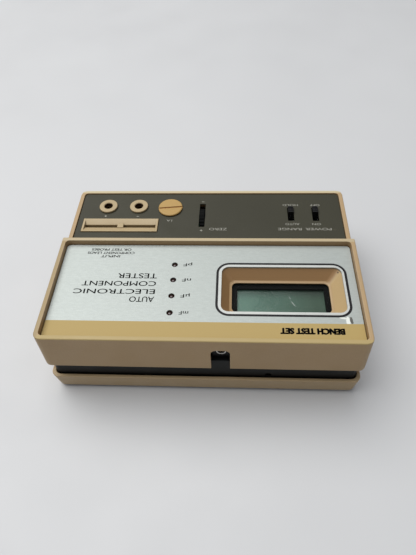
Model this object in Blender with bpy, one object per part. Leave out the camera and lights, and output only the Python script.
"""A bench component tester: a two-tone case that opens in three layers, with its panels, display,
test jacks, fuse, controls, circuit board and battery inside.

Run it with blender --background --python part.py, or from Blender's text editor.
Sizes and places below are in millimetres, and MM turns them into metres. The origin is the middle of
the underside, +Z is up, the user sits at -Y and the power inlet is in the rear wall, at +Y.
"""

import math

import bmesh
import bpy
from mathutils import Matrix, Vector

MM = 0.001
GAP = 0.3

# Case: three layers with one outline. Half sizes are measured at the parting line.
CASE_HALF_X = 82.5
CASE_HALF_Y = 58.5
CASE_CORNER = 4.0
SHELL_DRAFT = 0.5
SHELL_BOTTOM_Z = 25.4
SHELL_WALL = 2.0
DISPLAY_RIM_Z = 50.0
CONTROL_RIM_Z = 43.3
STEP_Y = -10.3
RIM_WIDTH = 2.4
STEP_RIM_WIDTH = 2.5

# Panels: thin plates lying in recesses of the top shell.
FACEPLATE_Z = 46.6
CONTROL_PANEL_Z = 42.6
PLATE = 0.8
FLOOR = 2.0
DISPLAY_FLOOR_Z = FACEPLATE_Z - PLATE - GAP
CONTROL_FLOOR_Z = CONTROL_PANEL_Z - PLATE - GAP
DISPLAY_CEILING_Z = DISPLAY_FLOOR_Z - FLOOR
CONTROL_CEILING_Z = CONTROL_FLOOR_Z - FLOOR
RECESS_HALF_X = 79.6
RECESS_CORNER = 2.0

# Middle case: the dark tub that carries the board.
TUB_HALF_X = 80.2
TUB_HALF_Y = 56.2
TUB_TAPER = 1.0
TUB_CORNER = 3.2
TUB_BOTTOM_Z = 6.3
TUB_SHOULDER_Z = 15.0
TUB_TOP_Z = 29.3
TUB_WALL = 2.0

# Bottom cover: a shallow tray under the tub.
TRAY_BOTTOM_Z = 1.5
TRAY_FLOOR_Z = 3.5
TRAY_TOP_Z = 13.6
TRAY_WALL = 1.8
TRAY_TAPER = 1.0
TRAY_EDGE = 1.2
FOOT_X = 73.0
FOOT_Y = 36.0
FOOT_RADIUS = 6.0

# Screws
SCREW_X = 73.0
SCREW_Y = 49.0
CASE_SCREW_RADIUS = 1.5
CASE_SCREW_HEAD = 3.0
CASE_SCREW_TIP_Z = 37.0
BOSS_RADIUS = 4.0
BOARD_SCREWS = [(-56.7, -46.7), (-64.0, 46.0), (62.0, -10.0), (22.0, 46.0)]
BOARD_SCREW_RADIUS = 1.2

# Display: a sloping well in the top shell, over a lens, a black frame and the liquid crystal glass.
WELL_X = (-72.7, -9.1)
WELL_Y = (8.2, 37.85)
WELL_CORNER = 4.0
WINDOW_X = (-66.4, -14.6)
WINDOW_Y = (14.0, 33.4)
WINDOW_CORNER = 2.7
WINDOW_Z = 40.0
LEDGE_WIDTH = 1.3
LEDGE_RISE = 0.3
VIEW_X = (-63.85, -17.5)
VIEW_Y = (16.5, 33.0)
GLASS_X = (-66.3, -15.5)
GLASS_Y = (10.4, 38.9)
GLASS_Z = (34.4, 36.7)
HOLDER_X = (-69.0, -12.0)
HOLDER_Y = (8.0, 41.0)
HOLDER_TOP_Z = 38.1
LENS_Y = (12.2, 35.4)
LENS_Z = (38.4, 39.1)

# Range lamps
LAMP_X = 16.65
LAMP_Y = {"pico": 6.95, "nano": 17.63, "micro": 28.31, "milli": 39.0}
LAMP_RADIUS = 1.5

# Control panel fittings
JACK_X = {"positive": 62.55, "negative": 43.5}
JACK_Y = -43.4
JACK_FLANGE_RADIUS = 5.6
JACK_BARREL_RADIUS = 4.1
JACK_MOUTH_RADIUS = 2.6
FUSE_X = 23.8
FUSE_Y = -42.3
FUSE_CAP_RADIUS = 7.4
FUSE_BARREL_RADIUS = 6.2
FUSE_SLOT_TILT = math.radians(6.0)
FUSE_SLOT_OFFSET = 0.6  # how far the slot lies behind the middle of the cap
SOCKET_X = (30.2, 75.9)
SOCKET_Y = (-32.7, -21.9)
SOCKET_TOP_Z = 43.2
WHEEL_X = 4.0
WHEEL_Y = -36.4
WHEEL_RADIUS = 10.0
WHEEL_Z = 34.1
WHEEL_HALF_WIDTH = 1.45
WHEEL_RIDGES = 30
SWITCH_X = {"range": -49.4, "power": -64.0}
SWITCH_Y = (-43.0, -31.7)
KNOB_LENGTH = 5.2
KNOB_HALF_WIDTH = 1.6
KNOB_TOP_Z = 44.4

# Power inlet
INLET_X = -9.6
INLET_Z = 35.3
INLET_FACE_Y = 54.0
NOTCH_X = (-14.1, -4.5)
NOTCH_TOP_Z = 41.9
NOTCH_CORNER = 3.0

# Circuit board and battery
BOARD_Z = (26.6, 28.2)
BOARD_PARTS_Z = BOARD_Z[1] + GAP
BATTERY_X = (34.8, 61.2)
BATTERY_Y = (3.0, 49.4)
BATTERY_Z = (4.6, 22.1)
DOOR_X = (32.3, 63.7)
DOOR_Y = (-4.2, 51.7)
DOOR_TOP_Z = 3.3

FAR = 20.0


# Shapes ------------------------------------------------------------------------------------------


def rounded(x, y, radius=0.0, steps=6):
    """A rectangle with round corners, as points in order, anticlockwise."""
    if not radius:
        return [(x[0], y[0]), (x[1], y[0]), (x[1], y[1]), (x[0], y[1])]
    corners = [
        (x[1] - radius, y[0] + radius, -90.0),
        (x[1] - radius, y[1] - radius, 0.0),
        (x[0] + radius, y[1] - radius, 90.0),
        (x[0] + radius, y[0] + radius, 180.0),
    ]
    points = []
    for cx, cy, start in corners:
        for step in range(steps + 1):
            angle = math.radians(start + 90.0 * step / steps)
            points.append((cx + radius * math.cos(angle), cy + radius * math.sin(angle)))
    return points


def centred(half_x, half_y, radius, steps=6):
    return rounded((-half_x, half_x), (-half_y, half_y), radius, steps)


def circle(x, y, radius, steps):
    angles = [2.0 * math.pi * step / steps for step in range(steps)]
    return [(x + radius * math.cos(a), y + radius * math.sin(a)) for a in angles]


class Shape:
    """Closed bodies collected in one mesh, in the case's own millimetres."""

    def __init__(self):
        self.mesh = bmesh.new()

    def loft(self, rings, turn=None):
        """A body through rings of equal point counts, closed at both ends."""
        turn = turn or Matrix.Identity(4)
        rows = [[self.mesh.verts.new(turn @ Vector(point)) for point in ring] for ring in rings]
        count = len(rows[0])
        for low, high in zip(rows, rows[1:]):
            for index in range(count):
                after = (index + 1) % count
                self.mesh.faces.new((low[index], low[after], high[after], high[index]))
        self.mesh.faces.new(rows[0][::-1])
        self.mesh.faces.new(rows[-1])
        return self

    def layers(self, *levels):
        """A body through (outline, z) pairs, from the lowest up."""
        return self.loft([[(x, y, z) for x, y in outline] for outline, z in levels])

    def prism(self, outline, z):
        return self.layers((outline, z[0]), (outline, z[1]))

    def box(self, x, y, z):
        return self.prism(rounded(x, y), z)

    def across(self, outline, x):
        """A prism along X, whose outline is given as (y, z) points."""
        return self.loft([[(end, y, z) for y, z in outline] for end in x])

    def through(self, outline, y):
        """A prism along Y, whose outline is given as (x, z) points."""
        return self.loft([[(x, end, z) for x, z in outline] for end in y])

    def cylinder(self, x, y, radius, z, steps=16):
        return self.prism(circle(x, y, radius, steps), z)

    def turned(self, profile, centre, steps=16, axis="Z"):
        """A body turned about the axis through centre. The profile is a closed loop of (radius,
        height) points, and a point with no radius lies on the axis."""
        turn = {"X": Matrix.Rotation(math.pi / 2, 4, "Y"), "Y": Matrix.Rotation(-math.pi / 2, 4, "X")}
        place = Matrix.Translation(centre) @ turn.get(axis, Matrix.Identity(4))
        rows = []
        for radius, height in profile:
            ring = circle(0.0, 0.0, radius, steps) if radius else [(0.0, 0.0)]
            rows.append([self.mesh.verts.new(place @ Vector((x, y, height))) for x, y in ring])
        for row, following in zip(rows, rows[1:] + rows[:1]):
            if len(row) == 1 and len(following) == 1:
                continue
            for step in range(steps):
                after = (step + 1) % steps
                corners = [row[step % len(row)], row[after % len(row)]]
                corners += [following[after % len(following)], following[step % len(following)]]
                self.mesh.faces.new(list(dict.fromkeys(corners)))
        return self


def metal_or_plastic(name, colour, roughness, metallic=0.0, alpha=1.0):
    material = bpy.data.materials.new(name)
    material.use_nodes = True
    shader = material.node_tree.nodes["Principled BSDF"]
    shader.inputs["Base Color"].default_value = (*colour, 1.0)
    shader.inputs["Roughness"].default_value = roughness
    shader.inputs["Metallic"].default_value = metallic
    shader.inputs["Alpha"].default_value = alpha
    return material


def add(name, shape, finish, place=(0.0, 0.0, 0.0), smooth=None):
    """The shape as an object, with its origin at place and its finish as (colour, roughness, ...)."""
    bmesh.ops.recalc_face_normals(shape.mesh, faces=shape.mesh.faces)
    bmesh.ops.translate(shape.mesh, verts=shape.mesh.verts, vec=-Vector(place))
    bmesh.ops.scale(shape.mesh, verts=shape.mesh.verts, vec=(MM, MM, MM))
    mesh = bpy.data.meshes.new(name)
    shape.mesh.to_mesh(mesh)
    shape.mesh.free()
    if smooth:
        mesh.shade_smooth()
        mesh.set_sharp_from_angle(angle=math.radians(smooth))
    item = bpy.data.objects.new(name, mesh)
    item.location = Vector(place) * MM
    bpy.context.scene.collection.objects.link(item)
    if finish:
        mesh.materials.append(metal_or_plastic(name, *finish))
    return item


def repeat(name, shape, finish, places, smooth=None):
    """One object at each place, numbered from 1, all sharing the mesh of a shape drawn about (0, 0)."""
    first = add(f"{name}_1", shape, finish, smooth=smooth)
    first.location = Vector(places[0]) * MM
    for number, place in enumerate(places[1:], start=2):
        item = bpy.data.objects.new(f"{name}_{number}", first.data)
        item.location = Vector(place) * MM
        bpy.context.scene.collection.objects.link(item)


def combine(item, operation, shape):
    """Cuts the shape from the item, or unites the two, and keeps the helper out of renders."""
    helper = add(f"{item.name}_{operation.lower()}_{len(item.modifiers)}", shape, None)
    helper.hide_render = True
    helper.display_type = "WIRE"
    modifier = item.modifiers.new(helper.name, "BOOLEAN")
    modifier.operation = operation
    modifier.object = helper


def cut(item, shape):
    combine(item, "DIFFERENCE", shape)


def unite(item, shape):
    combine(item, "UNION", shape)


def wire(name, route, radius, finish):
    """An insulated wire along a route of a few points, as a curve with capped ends."""
    curve = bpy.data.curves.new(name, "CURVE")
    curve.dimensions = "3D"
    curve.bevel_depth = radius * MM
    curve.bevel_resolution = 2
    curve.use_fill_caps = True
    points = smooth_route([Vector(point) for point in route])
    spline = curve.splines.new("POLY")
    spline.points.add(len(points) - 1)
    for control, point in zip(spline.points, points):
        control.co = (*(point * MM), 1.0)
    item = bpy.data.objects.new(name, curve)
    bpy.context.scene.collection.objects.link(item)
    curve.materials.append(metal_or_plastic(name, *finish))


def smooth_route(points, steps=4):
    """Points on a smooth curve through the given ones."""
    ends = [2 * points[0] - points[1]] + points + [2 * points[-1] - points[-2]]
    found = []
    for before, start, end, after in zip(ends, ends[1:], ends[2:], ends[3:]):
        for step in range(steps):
            t = step / steps
            slope_in, slope_out = (end - before) / 2, (after - start) / 2
            found.append(
                start * (2 * t**3 - 3 * t**2 + 1)
                + slope_in * (t**3 - 2 * t**2 + t)
                + end * (3 * t**2 - 2 * t**3)
                + slope_out * (t**3 - t**2)
            )
    return found + [points[-1]]


# Finishes: colour, roughness, metallic, alpha ----------------------------------------------------

TAN = ((0.55, 0.43, 0.27), 0.5)
TAN_LIGHT = ((0.60, 0.48, 0.31), 0.45)
ORANGE_TAN = ((0.62, 0.43, 0.22), 0.45)
DARK_GREY = ((0.03, 0.033, 0.034), 0.55)
SILVER = ((0.60, 0.62, 0.60), 0.38, 0.85)
OLIVE = ((0.085, 0.078, 0.055), 0.6)
BLACK = ((0.008, 0.008, 0.009), 0.4)
RUBBER = ((0.02, 0.02, 0.02), 0.85)
CRYSTAL_GREEN = ((0.12, 0.20, 0.16), 0.25)
CLEAR = ((0.8, 0.85, 0.85), 0.05, 0.0, 0.25)
LAMP_RED = ((0.10, 0.004, 0.004), 0.15)
STEEL = ((0.55, 0.55, 0.56), 0.35, 1.0)
NICKEL = ((0.70, 0.69, 0.66), 0.22, 1.0)
BRASS = ((0.72, 0.52, 0.22), 0.3, 1.0)
BOARD_GREEN = ((0.03, 0.14, 0.06), 0.5)
CHIP = ((0.015, 0.015, 0.017), 0.5)
CAPACITOR_BLUE = ((0.02, 0.05, 0.18), 0.35)
BATTERY_BLUE = ((0.03, 0.06, 0.16), 0.4)


# Case --------------------------------------------------------------------------------------------


def screw_places():
    return [(x, y) for x in (-SCREW_X, SCREW_X) for y in (-SCREW_Y, SCREW_Y)]


def panel_openings(z, spare=0.0, slot_spare=0.0):
    """The control fittings' openings through a panel, wider by spare around the fixed fittings and by
    slot_spare around the moving ones."""
    shape = Shape()
    for x in JACK_X.values():
        shape.cylinder(x, JACK_Y, JACK_BARREL_RADIUS + GAP + spare, z, 20)
    shape.cylinder(FUSE_X, FUSE_Y, FUSE_BARREL_RADIUS + GAP + spare, z, 20)
    edge = GAP + spare
    shape.box((SOCKET_X[0] - edge, SOCKET_X[1] + edge), (SOCKET_Y[0] - edge, SOCKET_Y[1] + edge), z)
    half_slot = WHEEL_HALF_WIDTH + GAP + slot_spare
    wheel_y = (WHEEL_Y - WHEEL_RADIUS - slot_spare, WHEEL_Y + WHEEL_RADIUS + slot_spare)
    shape.box((WHEEL_X - half_slot, WHEEL_X + half_slot), wheel_y, z)
    half_slot = KNOB_HALF_WIDTH + GAP + slot_spare
    switch_y = (SWITCH_Y[0] - slot_spare, SWITCH_Y[1] + slot_spare)
    for x in SWITCH_X.values():
        shape.box((x - half_slot, x + half_slot), switch_y, z)
    return shape


def grown(span, size):
    return (span[0] - size, span[1] + size)


def display_well():
    """The sloping well over the display, with a ledge around the window at its foot. It runs on past
    the floor at both ends."""
    top = rounded(WELL_X, WELL_Y, WELL_CORNER)
    ledge = rounded(grown(WINDOW_X, LEDGE_WIDTH), grown(WINDOW_Y, LEDGE_WIDTH), WINDOW_CORNER)
    window = rounded(WINDOW_X, WINDOW_Y, WINDOW_CORNER)
    return [
        (window, WINDOW_Z - 1.0),
        (window, WINDOW_Z),
        (ledge, WINDOW_Z + LEDGE_RISE),
        (top, DISPLAY_FLOOR_Z),
        (top, FACEPLATE_Z),
    ]


def top_shell():
    top_half_x = CASE_HALF_X - SHELL_DRAFT
    top_half_y = CASE_HALF_Y - SHELL_DRAFT
    body = Shape().layers(
        (centred(CASE_HALF_X, CASE_HALF_Y, CASE_CORNER), SHELL_BOTTOM_Z),
        (centred(top_half_x, top_half_y, CASE_CORNER), DISPLAY_RIM_Z),
    )
    shell = add("top_shell", body, TAN, (0.0, 0.0, SHELL_BOTTOM_Z), smooth=40)

    inner_x = CASE_HALF_X - SHELL_WALL
    inner_y = CASE_HALF_Y - SHELL_WALL
    hollow = Shape()
    hollow.prism(centred(inner_x, inner_y, TUB_CORNER), (SHELL_BOTTOM_Z - 1.0, CONTROL_CEILING_Z))
    step_x = (-CASE_HALF_X - FAR, CASE_HALF_X + FAR)
    hollow.box(step_x, (-CASE_HALF_Y - FAR, STEP_Y), (CONTROL_RIM_Z, DISPLAY_RIM_Z + FAR))
    cut(shell, hollow)

    recesses = Shape()
    rear_y = top_half_y - RIM_WIDTH
    display_y = (STEP_Y + STEP_RIM_WIDTH, rear_y)
    control_y = (-rear_y, STEP_Y - SHELL_WALL)
    sides = (-RECESS_HALF_X, RECESS_HALF_X)
    above = DISPLAY_RIM_Z + FAR
    recesses.prism(rounded(sides, display_y, RECESS_CORNER), (DISPLAY_FLOOR_Z, above))
    recesses.prism(rounded(sides, control_y, RECESS_CORNER), (CONTROL_FLOOR_Z, above))
    ceiling_y = (STEP_Y + SHELL_WALL, inner_y)
    ceiling = rounded((-inner_x, inner_x), ceiling_y, TUB_CORNER)
    recesses.prism(ceiling, (CONTROL_CEILING_Z - 1.0, DISPLAY_CEILING_Z))
    cut(shell, recesses)

    wall = 3.0
    additions = Shape()
    additions.layers(
        (rounded(grown(WINDOW_X, wall), grown(WINDOW_Y, wall), WINDOW_CORNER), LENS_Z[1] + GAP),
        (rounded(grown(WELL_X, wall), grown(WELL_Y, wall), WELL_CORNER), DISPLAY_CEILING_Z + 1.0),
    )
    for x, y in screw_places():
        ceiling_z = DISPLAY_CEILING_Z if y > STEP_Y else CONTROL_CEILING_Z
        additions.cylinder(x, y, BOSS_RADIUS, (TUB_TOP_Z + GAP, ceiling_z + 1.0))
    unite(shell, additions)

    openings = panel_openings((CONTROL_CEILING_Z - 1.0, CONTROL_FLOOR_Z + 1.0), 0.2, 1.2)
    openings.layers(*display_well())
    for y in LAMP_Y.values():
        openings.cylinder(LAMP_X, y, LAMP_RADIUS + 0.6, (DISPLAY_CEILING_Z - 1.0, FACEPLATE_Z), 12)
    for x, y in screw_places():
        bore = CASE_SCREW_RADIUS + GAP
        openings.cylinder(x, y, bore, (TUB_TOP_Z - 1.0, CASE_SCREW_TIP_Z + 1.0), 10)
    low_z = SHELL_BOTTOM_Z - FAR
    notch = rounded(NOTCH_X, (low_z, NOTCH_TOP_Z), NOTCH_CORNER)
    openings.through(notch, (CASE_HALF_Y - SHELL_WALL - 2.0, CASE_HALF_Y + FAR))
    cut(shell, openings)


def faceplate():
    shape = Shape()
    edge = RECESS_HALF_X - GAP
    rear_y = CASE_HALF_Y - SHELL_DRAFT - RIM_WIDTH - GAP
    front_y = STEP_Y + STEP_RIM_WIDTH + GAP
    outline = rounded((-edge, edge), (front_y, rear_y), RECESS_CORNER)
    shape.prism(outline, (FACEPLATE_Z - PLATE, FACEPLATE_Z))
    plate = add("faceplate", shape, SILVER, (0.0, 0.0, FACEPLATE_Z))
    openings = Shape()
    z = (FACEPLATE_Z - PLATE - 1.0, FACEPLATE_Z + 1.0)
    openings.prism(rounded(WELL_X, WELL_Y, WELL_CORNER), z)
    for y in LAMP_Y.values():
        openings.cylinder(LAMP_X, y, LAMP_RADIUS + 0.15, z)
    cut(plate, openings)


def control_panel():
    shape = Shape()
    edge = RECESS_HALF_X - GAP
    front_y = -(CASE_HALF_Y - SHELL_DRAFT - RIM_WIDTH - GAP)
    rear_y = STEP_Y - SHELL_WALL - GAP
    outline = rounded((-edge, edge), (front_y, rear_y), RECESS_CORNER)
    shape.prism(outline, (CONTROL_PANEL_Z - PLATE, CONTROL_PANEL_Z))
    panel = add("control_panel", shape, OLIVE, (0.0, 0.0, CONTROL_PANEL_Z))
    cut(panel, panel_openings((CONTROL_PANEL_Z - PLATE - 1.0, CONTROL_PANEL_Z + 1.0)))


def middle_case():
    base = centred(TUB_HALF_X - TUB_TAPER, TUB_HALF_Y - TUB_TAPER, TUB_CORNER)
    full = centred(TUB_HALF_X, TUB_HALF_Y, TUB_CORNER)
    body = Shape().layers((base, TUB_BOTTOM_Z), (full, TUB_SHOULDER_Z), (full, TUB_TOP_Z))
    tub = add("middle_case", body, DARK_GREY, (0.0, 0.0, TUB_BOTTOM_Z), smooth=40)
    floor_z = TUB_BOTTOM_Z + TUB_WALL
    inner = centred(TUB_HALF_X - TUB_TAPER - TUB_WALL, TUB_HALF_Y - TUB_TAPER - TUB_WALL, TUB_CORNER / 2)
    cut(tub, Shape().prism(inner, (floor_z, TUB_TOP_Z + 1.0)))

    well_x = (BATTERY_X[0] - 1.5, BATTERY_X[1] + 1.5)
    well_y = (DOOR_Y[0] + 1.7, DOOR_Y[1] - 1.2)
    inside = Shape()
    wall = 1.5
    well_top = BATTERY_Z[1] + 2.0
    outer_x = (well_x[0] - wall, well_x[1] + wall)
    outer_y = (well_y[0] - wall, well_y[1] + wall)
    inside.box(outer_x, outer_y, (floor_z - 1.0, well_top))
    for x, y in screw_places():
        inside.cylinder(x, y, BOSS_RADIUS, (floor_z - 0.5, TUB_TOP_Z))
    for x, y in BOARD_SCREWS:
        inside.cylinder(x, y, 3.5, (floor_z - 0.5, BOARD_Z[0] - GAP), 12)
    unite(tub, inside)

    openings = Shape()
    openings.box(well_x, well_y, (TUB_BOTTOM_Z - 1.0, well_top + 1.0))
    for x, y in screw_places():
        openings.cylinder(x, y, CASE_SCREW_RADIUS + 0.4, (TUB_BOTTOM_Z - 1.0, TUB_TOP_Z + 1.0), 10)
    for x, y in BOARD_SCREWS:
        openings.cylinder(x, y, BOARD_SCREW_RADIUS + 0.4, (17.0, BOARD_Z[0]), 8)
    vent_x, vent_z, vent_radius = -34.0, 15.2, 1.7
    vent = circle(vent_x, vent_z, vent_radius, 12)
    openings.through(vent, (TUB_HALF_Y - TUB_WALL - 2.0, TUB_HALF_Y + 1.0))
    cut(tub, openings)


def bottom_cover():
    outer_x, outer_y = CASE_HALF_X, CASE_HALF_Y
    low_x, low_y = outer_x - TRAY_TAPER, outer_y - TRAY_TAPER
    body = Shape().layers(
        (centred(low_x - TRAY_EDGE, low_y - TRAY_EDGE, CASE_CORNER), TRAY_BOTTOM_Z),
        (centred(low_x - TRAY_EDGE / 3, low_y - TRAY_EDGE / 3, CASE_CORNER), TRAY_BOTTOM_Z + 0.4),
        (centred(low_x, low_y, CASE_CORNER), TRAY_BOTTOM_Z + TRAY_EDGE),
        (centred(outer_x, outer_y, CASE_CORNER), TRAY_TOP_Z),
    )
    tray = add("bottom_cover", body, TAN, (0.0, 0.0, TRAY_BOTTOM_Z), smooth=40)
    inner_x, inner_y = outer_x - TRAY_WALL, outer_y - TRAY_WALL
    inner_corner = CASE_CORNER - TRAY_WALL + 1.0
    hollow = Shape().layers(
        (centred(inner_x - TRAY_TAPER, inner_y - TRAY_TAPER, inner_corner), TRAY_FLOOR_Z),
        (centred(inner_x, inner_y, inner_corner), TRAY_TOP_Z + 1.0),
    )
    cut(tray, hollow)
    seats = Shape()
    for x, y in screw_places():
        seats.cylinder(x, y, 4.6, (TRAY_FLOOR_Z - 0.5, TUB_BOTTOM_Z - GAP))
    unite(tray, seats)
    openings = Shape()
    for x, y in screw_places():
        head, shank = CASE_SCREW_HEAD + 0.4, CASE_SCREW_RADIUS + 0.4
        steps = [(0.0, 0.5), (head, 0.5), (head, 4.1), (shank, 4.1), (shank, 7.0), (0.0, 7.0)]
        openings.turned(steps, (x, y, 0.0), 12)
    door_x = (DOOR_X[0] - GAP, DOOR_X[1] + GAP)
    door_y = (DOOR_Y[0] - GAP, DOOR_Y[1] + GAP)
    openings.box(door_x, door_y, (TRAY_BOTTOM_Z - 1.0, TRAY_FLOOR_Z + 1.0))
    cut(tray, openings)


def battery_door():
    hinge = (0.5 * (DOOR_X[0] + DOOR_X[1]), DOOR_Y[0], TRAY_BOTTOM_Z)
    shape = Shape().box(DOOR_X, DOOR_Y, (TRAY_BOTTOM_Z, DOOR_TOP_Z))
    door = add("battery_door", shape, TAN, hinge)
    grooves = Shape()
    for step in range(3):
        y = DOOR_Y[1] - 5.0 - 2.2 * step
        grooves.box((hinge[0] - 7.0, hinge[0] + 7.0), (y - 0.5, y + 0.5), (0.5, TRAY_BOTTOM_Z + 0.6))
    cut(door, grooves)


def rubber_feet():
    shape = Shape()
    height = TRAY_BOTTOM_Z - GAP
    profile = [(0.0, 0.0), (FOOT_RADIUS - 0.4, 0.0), (FOOT_RADIUS, 0.4), (FOOT_RADIUS, height)]
    shape.turned(profile + [(0.0, height)], (0.0, 0.0, 0.0), 20)
    places = [(x, y, 0.0) for x in (-FOOT_X, FOOT_X) for y in (-FOOT_Y, FOOT_Y)]
    repeat("rubber_foot", shape, RUBBER, places, smooth=40)


def case_screws():
    shape = Shape()
    head, shank = CASE_SCREW_HEAD, CASE_SCREW_RADIUS
    profile = [(0.0, 2.0), (head, 2.0), (head, 3.8), (shank, 3.8), (shank, CASE_SCREW_TIP_Z)]
    profile.append((0.0, CASE_SCREW_TIP_Z))
    shape.turned(profile, (0.0, 0.0, 0.0), 10)
    repeat("case_screw", shape, STEEL, [(x, y, 0.0) for x, y in screw_places()], smooth=40)


# Display -----------------------------------------------------------------------------------------


def display():
    lens_x = (HOLDER_X[0] + 0.6, HOLDER_X[1] - 0.6)
    lens = Shape().prism(rounded(lens_x, LENS_Y, 1.0, 2), LENS_Z)
    add("display_lens", lens, CLEAR, (0.0, 0.0, LENS_Z[0]))

    body = Shape().box(HOLDER_X, HOLDER_Y, (BOARD_PARTS_Z, HOLDER_TOP_Z))
    holder = add("display_frame", body, BLACK, (0.0, 0.0, BOARD_PARTS_Z))
    ledge_z = GLASS_Z[1] + GAP
    pocket_x = (GLASS_X[0] - GAP, GLASS_X[1] + GAP)
    pocket_y = (GLASS_Y[0] - GAP, GLASS_Y[1] + GAP)
    cut(holder, Shape().box(pocket_x, pocket_y, (BOARD_PARTS_Z - 1.0, ledge_z)))
    cut(holder, Shape().box(VIEW_X, VIEW_Y, (ledge_z - 1.0, HOLDER_TOP_Z + 1.0)))

    glass = Shape().box(GLASS_X, GLASS_Y, GLASS_Z)
    add("display_glass", glass, CRYSTAL_GREEN, (0.0, 0.0, GLASS_Z[0]))
    half_length = 0.5 * (GLASS_X[1] - GLASS_X[0]) - 0.4
    strip = Shape().box((-half_length, half_length), (-1.25, 1.25), (0.0, GLASS_Z[0] - GAP - BOARD_PARTS_Z))
    rows = (GLASS_Y[0] + 1.7, GLASS_Y[1] - 1.7)
    repeat("contact_strip", strip, RUBBER, [(0.5 * sum(GLASS_X), y, BOARD_PARTS_Z) for y in rows])


def range_lamps():
    """The four lamps beside the unit marks, and the bar that holds them up off the board."""
    flange_z, top_z = 40.6, 46.3
    for unit, y in LAMP_Y.items():
        profile = [
            (0.0, top_z),
            (0.75, top_z - 0.2),
            (1.3, top_z - 0.8),
            (LAMP_RADIUS, top_z - 1.5),
            (LAMP_RADIUS, flange_z + 1.0),
            (LAMP_RADIUS + 0.4, flange_z + 1.0),
            (LAMP_RADIUS + 0.4, flange_z),
            (0.0, flange_z),
        ]
        local = [(radius, height - flange_z) for radius, height in profile]
        place = (LAMP_X, y, flange_z)
        add(f"lamp_{unit}", Shape().turned(local, place, 12), LAMP_RED, place, smooth=40)
    rows = sorted(LAMP_Y.values())
    bar = Shape().box(
        (LAMP_X - 2.2, LAMP_X + 2.2), (rows[0] - 3.0, rows[-1] + 3.0), (BOARD_PARTS_Z, flange_z - GAP)
    )
    add("lamp_bar", bar, BLACK, (LAMP_X, 0.5 * (rows[0] + rows[-1]), BOARD_PARTS_Z))


# Terminals and fuse ------------------------------------------------------------------------------


def test_jacks():
    low_z, top_z = 30.0, CONTROL_PANEL_Z + 1.3
    seat_z = CONTROL_PANEL_Z + GAP
    nut_z = (CONTROL_CEILING_Z - 2.6, CONTROL_CEILING_Z - GAP)
    for name, x in JACK_X.items():
        place = (x, JACK_Y, low_z)
        collar = [
            (JACK_MOUTH_RADIUS, top_z),
            (JACK_FLANGE_RADIUS - 0.4, top_z),
            (JACK_FLANGE_RADIUS, top_z - 0.4),
            (JACK_FLANGE_RADIUS, seat_z),
            (JACK_BARREL_RADIUS, seat_z),
            (JACK_BARREL_RADIUS, low_z),
            (3.3, low_z),
            (3.3, 41.6),
            (JACK_MOUTH_RADIUS, 41.6),
        ]
        local = [(radius, height - low_z) for radius, height in collar]
        add(f"{name}_jack_collar", Shape().turned(local, place, 20), TAN_LIGHT, place, smooth=40)
        socket_low = 24.0
        socket = [(0.0, socket_low), (3.0, socket_low), (3.0, 41.3), (2.1, 41.3), (2.1, 28.0), (0.0, 28.0)]
        place = (x, JACK_Y, socket_low)
        local = [(radius, height - socket_low) for radius, height in socket]
        add(f"{name}_jack_socket", Shape().turned(local, place, 14), BRASS, place, smooth=40)
        nut = Shape().cylinder(x, JACK_Y, 6.6, nut_z, 6)
        nut_item = add(f"{name}_jack_nut", nut, STEEL, (x, JACK_Y, nut_z[0]))
        bore = JACK_BARREL_RADIUS + GAP
        cut(nut_item, Shape().cylinder(x, JACK_Y, bore, (nut_z[0] - 1.0, nut_z[1] + 1.0), 14))


def test_socket():
    """The block that takes a component's bare leads: two slots at the bottom of a shallow trough,
    each over its own U-shaped spring contact."""
    end_wall, rim, trough_depth = 1.2, 0.9, 1.5
    middle_y = 0.5 * (SOCKET_Y[0] + SOCKET_Y[1]) - 0.3
    trough_floor_z = SOCKET_TOP_Z - trough_depth
    slot_half, slot_floor_z, bridge_top_z = 1.1, 38.0, SOCKET_TOP_Z - 0.7
    body = Shape().box(SOCKET_X, SOCKET_Y, (34.0, SOCKET_TOP_Z))
    block = add("test_socket", body, TAN_LIGHT, (0.5 * sum(SOCKET_X), middle_y, 34.0))
    trough_x = (SOCKET_X[0] + end_wall, SOCKET_X[1] - end_wall)
    trough = [
        (SOCKET_Y[0] + rim, SOCKET_TOP_Z + 1.0),
        (SOCKET_Y[0] + rim, SOCKET_TOP_Z),
        (middle_y - slot_half, trough_floor_z),
        (middle_y + slot_half, trough_floor_z),
        (SOCKET_Y[1] - rim, SOCKET_TOP_Z),
        (SOCKET_Y[1] - rim, SOCKET_TOP_Z + 1.0),
    ]
    cut(block, Shape().across(trough, trough_x))
    bridge_x = (51.1, 54.7)
    bridge_y = (middle_y - 1.75, middle_y + 1.75)
    unite(block, Shape().box(bridge_x, bridge_y, (slot_floor_z, bridge_top_z)))
    slots, rooms = Shape(), Shape()
    room_y = (middle_y - 2.6, middle_y + 2.6)
    sides = {"negative": (trough_x[0], bridge_x[0]), "positive": (bridge_x[1], trough_x[1])}
    for name, x in sides.items():
        slots.box(x, (middle_y - slot_half, middle_y + slot_half), (slot_floor_z, SOCKET_TOP_Z - 1.0))
        rooms.box((x[0] + 0.3, x[1] - 0.3), room_y, (33.0, 39.2))
        spring_x = (x[0] + 1.0, x[1] - 1.0)
        spring = [(-1.6, 31.0), (1.6, 31.0), (1.6, 35.0), (0.55, 38.8), (0.25, 38.8), (1.1, 34.8)]
        spring += [(1.1, 31.5), (-1.1, 31.5), (-1.1, 34.8), (-0.25, 38.8), (-0.55, 38.8), (-1.6, 35.0)]
        outline = [(middle_y + y, z) for y, z in spring]
        place = (0.5 * sum(spring_x), middle_y, 31.0)
        add(f"{name}_socket_spring", Shape().across(outline, spring_x), BRASS, place)
    cut(block, slots)
    cut(block, rooms)


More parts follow.
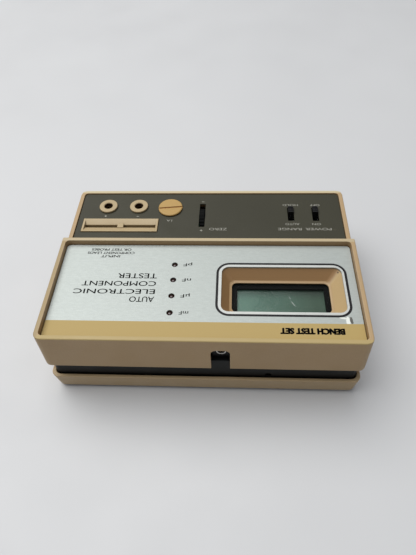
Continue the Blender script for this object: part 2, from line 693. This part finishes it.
def fuse():
    low_z = 12.0
    bore, wall_top = 5.1, CONTROL_PANEL_Z - 0.1
    place = (FUSE_X, FUSE_Y, low_z)
    outer = FUSE_BARREL_RADIUS
    holder = [(0.0, 0.0), (outer, 0.0), (outer, wall_top - low_z), (bore, wall_top - low_z)]
    holder += [(bore, 2.0), (0.0, 2.0)]
    add("fuse_holder", Shape().turned(holder, place, 18), BLACK, place, smooth=40)
    nut_z = (CONTROL_CEILING_Z - 2.8, CONTROL_CEILING_Z - GAP)
    nut = add("fuse_holder_nut", Shape().cylinder(FUSE_X, FUSE_Y, 9.2, nut_z, 6), BLACK)
    nut_bore = (nut_z[0] - 1.0, nut_z[1] + 1.0)
    cut(nut, Shape().cylinder(FUSE_X, FUSE_Y, outer + GAP, nut_bore, 18))

    seat_z = CONTROL_PANEL_Z + GAP
    place = (FUSE_X, FUSE_Y, seat_z)
    radius = FUSE_CAP_RADIUS
    cap = [(0.0, 1.1), (radius - 0.5, 1.1), (radius, 0.7), (radius, 0.0), (4.8, 0.0), (4.8, -9.4)]
    cap += [(2.9, -9.4), (2.9, -6.0), (0.0, -6.0)]
    cap_item = add("fuse_cap", Shape().turned(cap, place, 24), ORANGE_TAN, place, smooth=40)
    turn = Matrix.Rotation(FUSE_SLOT_TILT, 4, "Z")
    corners = [turn @ Vector((x, y, 0.0)) for x, y in rounded((-8.0, 8.0), (-0.65, 0.65))]
    slot = [(FUSE_X + corner.x, FUSE_Y + FUSE_SLOT_OFFSET + corner.y) for corner in corners]
    cut(cap_item, Shape().prism(slot, (seat_z + 0.35, seat_z + 2.0)))

    fuse_z, end_length, length = 15.0, 5.0, 20.0
    glass_z = (fuse_z + end_length + 0.1, fuse_z + length - end_length - 0.1)
    glass = Shape().cylinder(FUSE_X, FUSE_Y, 2.4, glass_z, 12)
    add("fuse_glass", glass, CLEAR, (FUSE_X, FUSE_Y, glass_z[0]), smooth=40)
    end = Shape().cylinder(0.0, 0.0, 2.6, (0.0, end_length), 12)
    starts = (fuse_z, fuse_z + length - end_length)
    repeat("fuse_end", end, NICKEL, [(FUSE_X, FUSE_Y, start) for start in starts], smooth=40)


# Controls ----------------------------------------------------------------------------------------


def zero_control():
    place = (WHEEL_X, WHEEL_Y, WHEEL_Z)
    rim = []
    for step in range(2 * WHEEL_RIDGES):
        angle = math.pi * (step + 0.5) / WHEEL_RIDGES
        radius = WHEEL_RADIUS if step % 2 else WHEEL_RADIUS - 0.5
        rim.append((WHEEL_Y + radius * math.cos(angle), WHEEL_Z + radius * math.sin(angle)))
    wheel_x = (WHEEL_X - WHEEL_HALF_WIDTH, WHEEL_X + WHEEL_HALF_WIDTH)
    wheel = add("zero_wheel", Shape().across(rim, wheel_x), BLACK, place)
    shaft = circle(WHEEL_Y, WHEEL_Z, 2.0, 12)
    unite(wheel, Shape().across(shaft, (WHEEL_X - 7.0, WHEEL_X + 0.5)))

    pot_x = (-9.0, WHEEL_X - 5.3)
    body = Shape().box(pot_x, (WHEEL_Y - 6.0, WHEEL_Y + 6.0), (BOARD_PARTS_Z, 39.2))
    pot = add("zero_potentiometer", body, CAPACITOR_BLUE, (WHEEL_X, WHEEL_Y, BOARD_PARTS_Z))
    bore = circle(WHEEL_Y, WHEEL_Z, 2.0 + GAP, 12)
    cut(pot, Shape().across(bore, (WHEEL_X - 7.4, pot_x[1] + 1.0)))


def slide_switches():
    front_y = SWITCH_Y[0] + GAP
    for name, x in SWITCH_X.items():
        stem_y = (front_y + 1.4, front_y + 3.8)
        knob_y = (front_y, front_y + KNOB_LENGTH)
        shoulder_z, foot_z = 38.0, 34.0
        side = [
            (knob_y[0], shoulder_z),
            (stem_y[0], shoulder_z),
            (stem_y[0], foot_z),
            (stem_y[1], foot_z),
            (stem_y[1], shoulder_z),
            (knob_y[1], shoulder_z),
            (knob_y[1], KNOB_TOP_Z),
            (knob_y[0], KNOB_TOP_Z),
        ]
        place = (x, 0.5 * sum(knob_y), foot_z)
        shape = Shape().across(side, (x - KNOB_HALF_WIDTH, x + KNOB_HALF_WIDTH))
        add(f"{name}_knob", shape, BLACK, place)
        body_y = (SWITCH_Y[0] - 1.0, SWITCH_Y[1] + 1.0)
        body = Shape().box((x - 4.0, x + 4.0), body_y, (BOARD_PARTS_Z, 36.5))
        switch = add(f"{name}_switch", body, STEEL, (x, 0.5 * sum(body_y), BOARD_PARTS_Z))
        half = KNOB_HALF_WIDTH + GAP
        travel = SWITCH_Y[1] - SWITCH_Y[0] - KNOB_LENGTH
        lane = (stem_y[0] - GAP, stem_y[1] + travel + GAP)
        cut(switch, Shape().box((x - half, x + half), lane, (foot_z - GAP, 40.0)))


# Power inlet, board and battery ------------------------------------------------------------------


def power_inlet():
    depth, bore = 9.5, 2.5
    inner_y, top_z = 41.4, 40.7
    wall_y = TUB_HALF_Y - TUB_TAPER - TUB_WALL - GAP
    side = [
        (inner_y, BOARD_PARTS_Z),
        (wall_y, BOARD_PARTS_Z),
        (wall_y, TUB_TOP_Z + GAP),
        (INLET_FACE_Y, TUB_TOP_Z + GAP),
        (INLET_FACE_Y, top_z),
        (inner_y, top_z),
    ]
    body = Shape().across(side, (INLET_X - 4.5, INLET_X + 4.5))
    inlet = add("power_inlet", body, BLACK, (INLET_X, INLET_FACE_Y, BOARD_PARTS_Z))
    hole = circle(INLET_X, INLET_Z, bore + GAP, 16)
    cut(inlet, Shape().through(hole, (INLET_FACE_Y - depth, INLET_FACE_Y + 1.0)))
    back, front = -depth + GAP, 0.3
    sleeve = [(bore, back), (bore, front), (bore - 0.6, front), (bore - 0.6, back)]
    place = (INLET_X, INLET_FACE_Y, INLET_Z)
    add("inlet_sleeve", Shape().turned(sleeve, place, 16, "Y"), NICKEL, place, smooth=40)
    pin = [(0.0, back), (0.95, back), (0.95, -1.2), (0.6, -0.7), (0.0, -0.7)]
    add("inlet_pin", Shape().turned(pin, place, 10, "Y"), NICKEL, place, smooth=40)


def main_board():
    front_y, middle_y, rear_y = -50.0, -17.0, 50.0
    half_x, notch_x = 68.5, 14.0
    outline = [
        (-half_x, front_y),
        (notch_x, front_y),
        (notch_x, middle_y),
        (half_x, middle_y),
        (half_x, rear_y),
        (-half_x, rear_y),
    ]
    board = add("main_board", Shape().prism(outline, BOARD_Z), BOARD_GREEN, (0.0, 0.0, BOARD_Z[0]))
    z = (BOARD_Z[0] - 1.0, BOARD_Z[1] + 1.0)
    openings = Shape()
    for x, y in BOARD_SCREWS:
        openings.cylinder(x, y, BOARD_SCREW_RADIUS + 0.4, z, 8)
    half_slot = WHEEL_HALF_WIDTH + 0.8
    openings.box((WHEEL_X - half_slot, WHEEL_X + half_slot), (WHEEL_Y - 9.1, WHEEL_Y + 9.1), z)
    cut(board, openings)

    shank, length = BOARD_SCREW_RADIUS, 10.5
    profile = [(0.0, 1.8), (2.0, 1.8), (2.75, 0.9), (2.75, 0.0)]
    profile += [(shank, 0.0), (shank, -length), (0.0, -length)]
    screw = Shape().turned(profile, (0.0, 0.0, 0.0), 10)
    places = [(x, y, BOARD_PARTS_Z) for x, y in BOARD_SCREWS]
    repeat("board_screw", screw, STEEL, places, smooth=40)


def board_parts():
    low = BOARD_PARTS_Z
    add("meter_chip", Shape().box((-50.0, 2.0), (-14.0, 0.0), (low, low + 4.0)), CHIP)
    add("logic_chip", Shape().box((28.0, 48.0), (6.0, 12.5), (low, low + 3.5)), CHIP)
    can = Shape().prism(rounded((52.0, 63.0), (28.0, 32.6), 2.2, 3), (low, low + 3.5))
    add("crystal", can, NICKEL)
    filter_can = Shape().cylinder(60.0, 8.0, 4.0, (low, low + 11.0), 14)
    add("filter_capacitor", filter_can, CAPACITOR_BLUE, (60.0, 8.0, low), smooth=40)


def battery():
    shape = Shape().prism(rounded(BATTERY_X, BATTERY_Y, 1.5, 2), BATTERY_Z)
    cell = add("battery", shape, BATTERY_BLUE, (0.5 * sum(BATTERY_X), BATTERY_Y[0], BATTERY_Z[0]))
    middle_x, middle_z = 0.5 * sum(BATTERY_X), 0.5 * sum(BATTERY_Z)
    studs = Shape()
    for side in (-6.35, 6.35):
        stud = circle(middle_x + side, middle_z, 2.8, 12)
        studs.through(stud, (BATTERY_Y[0] - 2.2, BATTERY_Y[0] + 0.5))
    unite(cell, studs)
    snap = Shape().box((36.0, 60.0), (-1.4, 0.5), (6.5, 20.0))
    add("battery_snap", snap, RUBBER, (middle_x, 0.5, middle_z))
    lead = [(52.0, -0.5, 20.4), (52.0, -0.7, 22.4), (55.5, -1.0, 24.6), (55.5, -1.0, BOARD_Z[0] - GAP)]
    wire("battery_lead", lead, 0.9, BLACK)


def build():
    for item in list(bpy.data.objects):
        bpy.data.objects.remove(item)
    top_shell()
    faceplate()
    control_panel()
    middle_case()
    bottom_cover()
    battery_door()
    rubber_feet()
    case_screws()
    display()
    range_lamps()
    test_jacks()
    test_socket()
    fuse()
    zero_control()
    slide_switches()
    power_inlet()
    main_board()
    board_parts()
    battery()


build()
